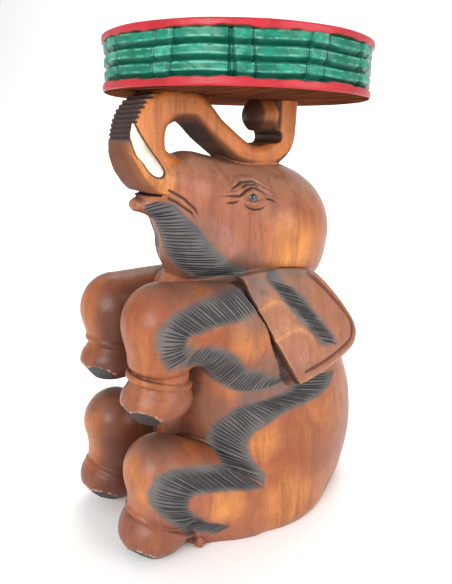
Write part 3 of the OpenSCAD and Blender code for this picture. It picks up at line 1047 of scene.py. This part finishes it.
# Each block keeps what lies outside (1) or inside (-1) its glue faces
BLOCKS = {
    "trunk_block": [(TRUNK_FACE, 1)],
    "head_block": [(NECK, 1), (TRUNK_FACE, -1)],
    "torso_block": [(NECK, -1), (leg_face(1), -1), (leg_face(-1), -1)],
    "left_foreleg_block": [(NECK, -1), (leg_face(1), 1), (SPLIT, 1)],
    "left_hind_leg_block": [(NECK, -1), (leg_face(1), 1), (SPLIT, -1)],
    "right_foreleg_block": [(NECK, -1), (leg_face(-1), 1), (SPLIT, 1)],
    "right_hind_leg_block": [(NECK, -1), (leg_face(-1), 1), (SPLIT, -1)],
}
SLOTS = {"trunk_block": "trunk_wood", "head_block": "head_wood"}


def faces_outside(mesh, faces):
    """Indices of the mesh's faces that lie wholly outside a block."""
    points = read_points(mesh)
    beyond = np.zeros(len(points), bool)
    for (point, normal), keep in faces:
        beyond |= (points - np.array(point)) @ np.array(normal) * keep < -0.5
    corners = np.empty(len(mesh.loops), int)
    starts = np.empty(len(mesh.polygons), int)
    mesh.loops.foreach_get("vertex_index", corners)
    mesh.polygons.foreach_get("loop_start", starts)
    return np.nonzero(np.logical_and.reduceat(beyond[corners], starts))[0]


def cut_block(carved, name, faces, material):
    """Cuts one block out of the carving and closes it with flat glue faces."""
    bm = bmesh.new()
    bm.from_mesh(carved)
    bm.faces.ensure_lookup_table()
    outside = [bm.faces[i] for i in faces_outside(carved, faces)]
    bmesh.ops.delete(bm, geom=outside, context="FACES")
    for (point, normal), keep in faces:
        geom = bm.verts[:] + bm.edges[:] + bm.faces[:]
        cut = bmesh.ops.bisect_plane(bm, geom=geom, dist=1e-7, plane_co=Vector(point) * MM,
                                     plane_no=Vector(normal) * keep, clear_inner=True)
        edges = [e for e in cut["geom_cut"] if isinstance(e, bmesh.types.BMEdge)
                 and e.is_boundary]
        made = bmesh.ops.triangle_fill(bm, use_beauty=False, edges=edges)
        for face in made["geom"]:
            if isinstance(face, bmesh.types.BMFace):
                face.smooth = False
    mesh = bpy.data.meshes.new(name)
    bm.to_mesh(mesh)
    bm.free()
    return add_piece(name, mesh, material, SLOTS.get(name, "carved_wood"), name)


def add_piece(name, mesh, material, slot, *nodes):
    """Puts a finished mesh in the scene in place of its CAD nodes."""
    mesh.materials.clear()
    mesh.materials.append(material)
    piece = bpy.data.objects.new("carved_" + name, mesh)
    bpy.context.collection.objects.link(piece)
    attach(piece, "root")
    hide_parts(*nodes)
    return piece


# ---------------------------------------------------------------- ears

EAR_RIM = smooth_line([(46, 290), (70, 270), (100, 238), (108, 222), (104, 208), (86, 199),
                       (58, 190), (30, 185)], 2)
EAR_PANELS = (((-27, 280), (19, 21)), ((-3, 246), (21, 18)), ((21, 208), (22, 22)))
EAR_RIDGES = (smooth_line([(-27, 257), (-16, 264), (-3, 266), (10, 260), (19, 247)], 2),
              smooth_line([(-10, 224), (8, 231), (24, 233), (39, 225), (45, 211), (42, 197)], 2))
EAR_BAND = Band([
    ((-13, 292), (24, 278)), ((-3, 280), (36, 267)), ((8, 268), (46, 254)),
    ((20, 255), (57, 242)), ((33, 242), (67, 230)), ((47, 228), (76, 219)),
    ((60, 214), (80, 207))], 3.3, None, soft=4.5, reach=6.0)


def ear_top(y, z):
    """Thickness of the ear board at a place, in millimetres."""
    inside = -outline_distance(y, z, EAR_OUTLINE)
    thickness = 8.8 + 2.4 * ramp(inside, 0, 24)
    rim = line_distance(y, z, EAR_RIM)
    thickness += 1.4 * ramp(rim, 9, 4) * ramp(inside, 8, 5) - 2.0 * ramp(rim, 3.2, 0.3)
    for (cy, cz), (ry, rz) in EAR_PANELS:
        thickness -= 2.8 * ramp(np.hypot((y - cy) / ry, (z - cz) / rz), 1.0, 0.15)
    for ridge in EAR_RIDGES:
        thickness += 1.5 * ramp(line_distance(y, z, ridge), 4.0, 0.3)
    return thickness


def ear_field(p):
    """Distance to an ear: a board with a flat back and a rounded front edge."""
    out, height = ear_place(p)
    edge = outline_distance(p[1], height, EAR_OUTLINE)
    top = out - ear_top(p[1], height)
    d = -blend(-top, -edge, 3.5)
    return np.maximum(d, -out)


def ear_masks(points, normals):
    """The masks that the wood's material reads on an ear, painted shade and painted highlight among
    them.
    """
    p = [points[:, i] for i in range(3)]
    out, height = ear_place((np.abs(p[0]), p[1], p[2]))
    y, z = points[:, 1], height
    smooth_side = line_distance(y, z, [(-4, 292), (18, 262), (44, 234), (62, 214)])
    soot = np.maximum(band_mask(points, normals, {}, EAR_BAND),
                      ramp(smooth_side, 11, 5) * ramp(out, 4, 6))
    rim = ramp(line_distance(y, z, EAR_RIM), 3.0, 0.8)
    inside = -outline_distance(y, z, EAR_OUTLINE)
    ridge = np.minimum(line_distance(y, z, EAR_RIDGES[0]), line_distance(y, z, EAR_RIDGES[1]))
    shade = np.maximum(ramp(np.hypot(y + 27, z - 282), 26, 8), ramp(z, 276, 294) * (y < 60))
    shade = np.maximum(shade, 0.6 * ramp(np.hypot(y - 24, z - 266), 34, 10))
    # Painted shade on the board's front wall, by the gap in front of it.
    wall = ramp(-normals[:, 1], 0.2, 0.5) * ramp(out, 9.5, 7.5) * ramp(y, 40, 30)
    # Painted shade in the rim's groove, near the board's back and on faces turned down; rubbed wood
    # with painted highlight on the ridges and along the edge.
    return {"soot": soot, "shade_paint": np.maximum(0.85 * rim, 0.6 * ramp(out, 5, 1)),
            "spray": shade, "line": wall, "grey": np.full(len(points), 0.6),
            "rubbed_and_highlight": np.maximum(0.9 * ramp(ridge, 6, 1), 0.6 * ramp(inside, 6, 1)),
            "under": ramp(-normals[:, 2], 0.3, 0.9)}


def mirrored(points, faces, side):
    """The faces and points of a left piece, mirrored when side is -1."""
    if side > 0:
        return points, faces
    return points * (-1, 1, 1), [face[::-1] for face in faces]


def side_name(side, name):
    return ("left_" if side > 0 else "right_") + name


def make_ear(side, material):
    box = (60, -54, 166), (112, 124, 306)
    points, quads = mirrored(*mesh_field(ear_field, *box, EAR_VOXEL), side)
    name = side_name(side, "ear")
    mesh = numpy_mesh(name, points, quads)
    normals = read_normals(mesh)
    rng = np.random.default_rng(SEED + side)
    cut, layers = draw_strokes(points, normals, list(EAR_BAND.strokes(rng)), {})
    layers["groove"] *= ramp(np.abs(normals[:, 0]), 0.5, 0.8)
    layers.update(ear_masks(points, normals))
    points = points - normals * cut[:, None]
    mesh.vertices.foreach_set("co", (points * MM).ravel())
    add_layers(mesh, layers)
    mesh.update()
    add_piece(name, mesh, material, "ear_wood", name)


# ---------------------------------------------------------------- tusks and eyes

def sweep(rings):
    """A closed tube through rings of points, each an array of the same length."""
    count, last_ring = len(rings[0]), (len(rings) - 1) * len(rings[0])
    points = np.vstack([*rings, rings[0].mean(0), rings[-1].mean(0)])
    first, last = len(points) - 2, len(points) - 1
    turn = [(j, (j + 1) % count) for j in range(count)]
    faces = [(i + j, i + k, i + count + k, i + count + j)
             for i in range(0, last_ring, count) for j, k in turn]
    for j, k in turn:
        faces += [(first, k, j), (last, last_ring + j, last_ring + k)]
    return points, faces


def make_tusk(side, material):
    """A tusk with a rounded root and a rounded tip."""
    line = smooth_line(TUSK[::4], 10)
    tip, root_r, tip_r = len(line) - 1, line[0, 2], line[-1, 2]
    heading = np.gradient(line[:, :2], axis=0)
    heading /= np.hypot(heading[:, 0], heading[:, 1])[:, None]
    turns = np.arange(40) * 2 * math.pi / 40
    # Each station is a shift along the line, a scale of the radius and a place on the line
    stations = [(-root_r * math.cos(a), math.sin(a), 0) for a in np.radians((8, 25, 45, 65))]
    stations += [(0, 1, i) for i in range(len(line))]
    stations += [(tip_r * math.sin(a), math.cos(a), tip) for a in np.radians((35, 65, 82))]
    rings = []
    for shift, scale, i in stations:
        (y, z, r), (hy, hz) = line[i], heading[i]
        rings.append(np.stack([TUSK_X + scale * r * np.cos(turns),
                               y + shift * hy - hz * scale * r * np.sin(turns),
                               z + shift * hz + hy * scale * r * np.sin(turns)], 1))
    name = side_name(side, "tusk")
    mesh = numpy_mesh(name, *mirrored(*sweep(rings), side))
    add_piece(name, mesh, material, "white_tusk", name)


def make_eye(side, material):
    """A glass eye: a ball with a slightly raised, darker middle."""
    count, rings = 48, []
    out = Vector((0.87, -0.45, 0.15)).normalized()
    level = out.cross(Vector((0, 0, 1))).normalized()
    axes = np.array([level, level.cross(out), out])
    turns = np.arange(count) * 2 * math.pi / count
    polar = np.concatenate([np.linspace(2, 60, 24), np.linspace(64, 178, 24)])
    for angle in np.radians(polar):
        r = EYE_RADIUS * (1 + 0.05 * ramp(angle, math.radians(34), math.radians(20)))
        local = np.stack([r * math.sin(angle) * np.cos(turns),
                          r * math.sin(angle) * np.sin(turns),
                          np.full(count, r * math.cos(angle))], 1)
        rings.append(local @ axes + np.array(EYE_PLACE))
    points, faces = sweep(rings)
    name = side_name(side, "eye")
    mesh = numpy_mesh(name, *mirrored(points, [face[::-1] for face in faces], side))
    add_layers(mesh, {"polar": np.append(polar.repeat(count), [0, 180])})
    add_piece(name, mesh, material, "eye_glass", name)


# ---------------------------------------------------------------- tabletop

# Bearings of the swollen cane joints round the rim, in degrees from +X towards +Y
KNUCKLES = (-95, -64, -34, -6, 24, 52, 78, 112, 139, 171, 203, 232)
DEEP_CUTS = (-39, 95, 188)
UPPER_BAND, LOWER_BAND = 6.8, 7.6
CANES = 3
# Depths of the carving in the rim, in millimetres
CANE_RECESS, VALLEY_DEPTH, KNOT_RISE, CUT_DEPTH, NECK_DEPTH = 2.2, 4.6, 1.5, 1.1, 1.0
BEVEL_SHARE = 0.36


def wrap(angle):
    """An angle in degrees, brought to -180 to 180."""
    return (angle + 180) % 360 - 180


def ripple(bearing, count, shift=0):
    """A wave round the rim that repeats count times."""
    return np.sin(np.radians(bearing * count + shift))


def knuckle_masks(bearing, number):
    """The cane joints at a bearing of a cane: the swollen knot, the cuts and the wood beside it."""
    knot, cut, near = np.zeros((3, *bearing.shape))
    for i, knuckle in enumerate(KNUCKLES):
        lean = (number - 1) * (0.8 if i % 2 else -0.6)
        off = np.abs(wrap(bearing - knuckle - lean))
        knot = np.maximum(knot, ramp(off, 3.5, 2.7))
        cut = np.maximum(cut, ramp(np.abs(off - 3.8), 0.5, 0.1))
        near = np.maximum(near, ramp(off, 7.5, 3.8))
    for deep_cut in DEEP_CUTS:
        cut = np.maximum(cut, 2 * ramp(np.abs(wrap(bearing - deep_cut)), 0.8, 0.1))
    return knot, cut, near


def rim_profile(z, bearing):
    """Radius of the rim at a height and bearing, and its paint: red, shaded, and lighter on the
    canes' edges and knots for wear and painted highlight.
    """
    base, top = TOP_UNDERSIDE + LOWER_BAND, TOP_HEIGHT - UPPER_BAND
    wobble = 0.6 * ripple(bearing, 7, 40) + 0.4 * ripple(bearing, 17) + 0.35 * ripple(bearing, 41)
    red = np.maximum(ramp(z, base + 0.6 + wobble, base - 0.6 + wobble),
                     ramp(z, top - 0.6 + wobble, top + 0.6 + wobble))
    place = (z - base) / (top - base) * CANES + 0.05 * ripple(bearing, 9)
    number = np.clip(np.floor(place), 0, CANES - 1)
    knot, cut, near = knuckle_masks(bearing, number)
    across = np.clip(np.abs(place - number - 0.5) * 2, 0, 1)
    up = np.clip(place - number, 0, 1)
    bevel = np.clip((BEVEL_SHARE + 0.1 * near * (1 - knot) - up) / BEVEL_SHARE, 0, 1)
    valley = np.maximum(bevel, ramp(up, 0.90, 1.0))
    uneven = (0.22 * np.sin(np.radians(bearing * 23) + z * 0.7) * ripple(bearing, 41)
              + 0.4 * ripple(bearing, 4, number * 140) * (0.5 - across))
    face = (TOP_RADIUS - CANE_RECESS - VALLEY_DEPTH * valley
            + KNOT_RISE * knot * (1 - 0.4 * valley) - CUT_DEPTH * cut
            - NECK_DEPTH * near * (1 - knot) + uneven)
    band = TOP_RADIUS - 0.3 + 0.3 * ripple(bearing, 13, 20)
    radius = face + (band - face) * red
    edge = np.clip(np.minimum(z - TOP_UNDERSIDE, TOP_HEIGHT - z) / 2.2, 0, 1)
    radius = radius - 2.2 * (1 - np.sqrt(1 - (1 - edge) ** 2))
    shaded = np.maximum(ramp(bevel, 0.02, 0.2), np.minimum(cut, 1)) * (1 - red)
    # Lighter on the canes' upper edges, above their bevels and on the knots: wear and painted
    # highlight.
    wear_and_highlight = np.maximum.reduce([ramp(np.abs(up - 0.86), 0.1, 0.02),
                              ramp(np.abs(up - 0.42), 0.08, 0.02), ramp(knot, 0.2, 0.9) * 0.5])
    return np.minimum(radius, TOP_RADIUS), (red, shaded, wear_and_highlight * (1 - red))


def make_tabletop(material, underside):
    """The round top as one turned mesh: underside, carved rim, and the flat top."""
    steps, rows = ((1080, 120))
    bearings = np.arange(steps) * 360 / steps
    angle = np.radians(bearings)
    even = np.linspace(0, 1, rows)
    eased = 0.5 - 0.5 * np.cos(math.pi * even)
    heights = TOP_UNDERSIDE + (TOP_HEIGHT - TOP_UNDERSIDE) * (0.35 * eased + 0.65 * even)
    inner_radii = np.linspace(6, TOP_RADIUS - 3, 26)
    rings, paint = [], []

    def add(radius, z, *tones):
        """One ring of points, with its red paint, its shaded paint and its lighter paint for wear
        and painted highlight.
        """
        rings.append(np.stack([radius * np.cos(angle), radius * np.sin(angle),
                               np.broadcast_to(z, steps)], 1))
        paint.append([np.broadcast_to(tone, steps) for tone in tones])

    for r in inner_radii:
        dish = 0.25 * np.sin(np.radians(bearings * 3) + r / 9) * ramp(r, 20, 60)
        add(r, TOP_UNDERSIDE + np.maximum(dish, 0), 0, 0, 0)
    for z in heights:
        radius, tones = rim_profile(np.full(steps, z), bearings)
        add(radius, z, *tones)
    for r in inner_radii[::-1]:
        add(r, TOP_HEIGHT, 1, 0, 0)
    mesh = numpy_mesh("tabletop", *sweep(rings))
    red, shaded, wear_and_highlight = np.concatenate(paint, axis=1)
    add_layers(mesh, {"red": np.append(red, [0, 1]), "shaded": np.append(shaded, [0, 0]),
                      "wear_and_highlight": np.append(wear_and_highlight, [0, 0])})
    add_piece("tabletop", mesh, material, "painted_top", "tabletop")
    mesh.materials.append(underside)
    for polygon in mesh.polygons:
        if polygon.center.z < (TOP_UNDERSIDE + 0.6) * MM and polygon.normal.z < -0.9:
            polygon.material_index = 1


# ---------------------------------------------------------------- materials

def stained_wood(s, grain, fine, pores):
    """Brown stain, rubbed to orange and mixed with grey and red, over grain, pores and specks; the
    orange is partly painted highlight, the grey partly painted sheen, and faces turned down get
    painted shade.
    """
    patches = s.noise(13.0, detail=4, rough=0.6, distortion=0.5)
    broad = s.noise(6.0, detail=2)
    color = s.mix(s.span(patches, 0.36, 0.64), (0.27, 0.072, 0.025), (0.43, 0.140, 0.044))
    color = s.mix(s.span(broad, 0.46, 0.66, 0, 0.7), color, (0.30, 0.092, 0.055))
    color = s.stain(color, "red", 0.7, (0.35, 0.130, 0.078))
    # Orange where the stain is rubbed through, with painted highlight on bulges.
    veil = s.span(s.noise(22.0, detail=4, rough=0.6), 0.3, 0.6, 0.35, 1.0)
    color = s.stain(color, "rubbed_and_highlight", veil, (0.62, 0.240, 0.055))
    color = s.stain(color, "pale", 0.85, (0.60, 0.195, 0.048))
    # Grey-brown on the head's upward faces, dust and painted sheen, and an even grey tone over the
    # ears.
    color = s.stain(color, "grey", 0.75, (0.36, 0.185, 0.118))
    color = s.mix(s.span(grain, 0.42, 0.68, 0, 0.5), color, (0.17, 0.045, 0.020))
    color = s.mix(s.span(fine, 0.52, 0.72, 0, 0.35), color, (0.15, 0.045, 0.022))
    # Painted shade on faces turned down and on the trunk's front, dark brown.
    color = s.stain(color, "under", 0.6, (0.13, 0.038, 0.020))
    color = s.mix(pores, color, (0.07, 0.022, 0.013))
    specks = s.span(s.cells(260.0, s.stretched((1, 1, 0.4))), 0.12, 0.03, 0, 0.85)
    sparse = s.math("MULTIPLY", specks, s.span(s.noise(30.0), 0.52, 0.66))
    return s.mix(sparse, color, (0.05, 0.020, 0.014))


def charred_wood(s, color):
    """Painted shade in hollows and creases, darker feet, sprayed shade, charred bands, drawn cuts
    darkened as painted shade, and black toenails over a wood colour.
    """
    # painted shade in deep hollows and on the legs' inner faces, and darker feet, dark red-brown
    color = s.stain(color, "deep", 0.85, (0.080, 0.024, 0.015))
    # painted shade in creases, under the trunk's arch, on its column and round its tip, dark brown
    color = s.stain(color, "shade_paint", 0.8, (0.055, 0.020, 0.013))
    mottled = s.span(s.noise(70.0, detail=3), 0.3, 0.7, 0.7, 1.0)
    color = s.stain(color, "spray", s.math("MULTIPLY", mottled, 0.8), (0.12, 0.083, 0.070))
    char = s.mix(s.span(s.noise(40.0, detail=4), 0.35, 0.7), (0.070, 0.069, 0.073),
                 (0.125, 0.117, 0.113))
    color = s.stain(color, "soot", 0.97, char)
    color = s.mix(s.span(s.attribute("groove"), 0.15, 0.75), color, (0.012, 0.010, 0.010))
    # Painted shade in the drawn cuts and in the creases and gaps beside the ears, the tusks, the
    # tail and the trunk's ridges, dark brown.
    color = s.mix(s.span(s.attribute("line"), 0.1, 0.7, 0, 0.9), color, (0.035, 0.014, 0.011))
    chips = s.span(s.noise(240.0, detail=3), 0.42, 0.58)
    color = s.stain(color, "chipped", chips, (0.60, 0.38, 0.23))
    return s.mix(s.attribute("nail"), color, (0.022, 0.020, 0.020))


def wood_material(name):
    """Stained and charred wood under a satin varnish, with painted shade and painted highlight in
    its colour.
    """
    s = Shader(name)
    grain = s.noise(1.0, s.stretched((75, 75, 6)), detail=6, rough=0.65, distortion=0.5)
    fine = s.noise(1.0, s.stretched((500, 500, 40)), detail=3, rough=0.6)
    pores = s.span(s.noise(1.0, s.stretched((900, 900, 130)), detail=1), 0.66, 0.76, 0, 0.6)
    color = charred_wood(s, stained_wood(s, grain, fine, pores))
    rough = s.span(s.math("ADD", s.attribute("soot"), fine), 0.4, 1.6, 0.38, 0.55)
    dull = s.math("MAXIMUM", s.attribute("shade_paint"), s.attribute("under"))
    rough = s.math("MAXIMUM", rough, s.math("MULTIPLY", dull, 0.95))
    relief = s.math("ADD", s.math("MULTIPLY", grain, 0.5), s.math("MULTIPLY", fine, 0.5))
    normal = s.bump(relief, 0.45, 0.7)
    normal = s.bump(pores, 0.3, -0.4, normal)
    return s.finish(color, rough, normal, specular=0.36)


def tusk_material():
    s = Shader("white_tusk")
    grain = s.noise(1.0, s.stretched((300, 120, 60)), detail=4, rough=0.6)
    color = s.mix(s.span(grain, 0.3, 0.7), (0.82, 0.75, 0.65), (0.66, 0.57, 0.47))
    stain = s.span(s.noise(90.0, detail=3), 0.6, 0.75, 0, 0.35)
    color = s.mix(stain, color, (0.50, 0.36, 0.22))
    return s.finish(color, 0.4, s.bump(grain, 0.25, 0.3), coat=0.2, coat_roughness=0.3)


def eye_material():
    s = Shader("eye_glass")
    polar = s.attribute("polar")
    iris = s.mix(s.span(s.noise(900.0, detail=2), 0.3, 0.7), (0.050, 0.062, 0.072),
                 (0.025, 0.032, 0.040))
    color = s.mix(s.span(polar, 18, 22), (0.006, 0.006, 0.008), iris)
    color = s.mix(s.span(polar, 44, 52), color, (0.05, 0.035, 0.03))
    return s.finish(color, 0.08, coat=1.0, coat_roughness=0.03)


def tabletop_material():
    """Green canes between red bands, lighter along their edges for wear and painted highlight."""
    s = Shader("painted_top")
    patches = s.noise(1.0, s.stretched((40, 40, 160)), detail=4, rough=0.6)
    streak = s.noise(1.0, s.stretched((150, 150, 500)), detail=3)
    rubbed = s.span(s.noise(90.0, detail=4, rough=0.7), 0.42, 0.64)
    green = s.mix(s.span(patches, 0.35, 0.68), (0.003, 0.125, 0.074), (0.008, 0.240, 0.155))
    green = s.mix(s.span(streak, 0.5, 0.75, 0, 0.4), green, (0.006, 0.085, 0.058))
    wear_and_highlight = s.math("MULTIPLY", s.attribute("wear_and_highlight"), s.math("MULTIPLY", rubbed, 0.75))
    # Lighter green where rubbed on the canes' edges: wear and painted highlight.
    green = s.mix(wear_and_highlight, green, (0.14, 0.48, 0.36))
    green = s.mix(s.span(s.attribute("shaded"), 0.0, 1.0, 0, 0.8), green,
                  (0.003, 0.060, 0.042))
    scuff = s.span(s.noise(220.0, detail=3), 0.60, 0.72, 0, 0.5)
    red = s.mix(s.span(s.noise(60.0, detail=3), 0.4, 0.7), (0.44, 0.020, 0.030),
                (0.36, 0.014, 0.022))
    red = s.mix(scuff, red, (0.34, 0.085, 0.085))
    color = s.mix(s.attribute("red"), green, red)
    rough = s.span(patches, 0.3, 0.7, 0.30, 0.42)
    return s.finish(color, rough, s.bump(streak, 0.4, 0.5), specular=0.3)


def underside_material():
    """The dark streaky wood under the tabletop."""
    s = Shader("painted_top_underside")
    wood = s.noise(1.0, s.stretched((14, 150, 40)), detail=5, rough=0.65, distortion=0.5)
    color = s.mix(s.span(wood, 0.3, 0.7), (0.19, 0.062, 0.028), (0.045, 0.014, 0.008))
    return s.finish(color, 0.6, s.bump(wood, 0.3, 0.4), specular=0.0)


def dowel_material():
    s = Shader("dowel_wood")
    grain = s.noise(1.0, s.stretched((500, 500, 30)), detail=3)
    color = s.mix(s.span(grain, 0.3, 0.7), (0.62, 0.40, 0.22), (0.45, 0.27, 0.13))
    return s.finish(color, 0.6, s.bump(grain, 0.2, 0.2))


def dress_dowels():
    """The dowels and pegs stay as the CAD made them, and get grain."""
    material = dowel_material()
    for name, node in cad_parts.items():
        if name.endswith(("_dowels", "_pegs")):
            node.data.materials.clear()
            node.data.materials.append(material)


def make_elephant():
    wood = wood_material("carved_wood")
    carved = make_carving()
    for name, faces in BLOCKS.items():
        cut_block(carved, name, faces, wood)
    bpy.data.meshes.remove(carved)
    ivory, glass = tusk_material(), eye_material()
    for side in (1, -1):
        make_ear(side, wood)
        make_tusk(side, ivory)
        make_eye(side, glass)


make_camera()
make_floor()
make_light()
make_elephant()
make_tabletop(tabletop_material(), underside_material())
dress_dowels()
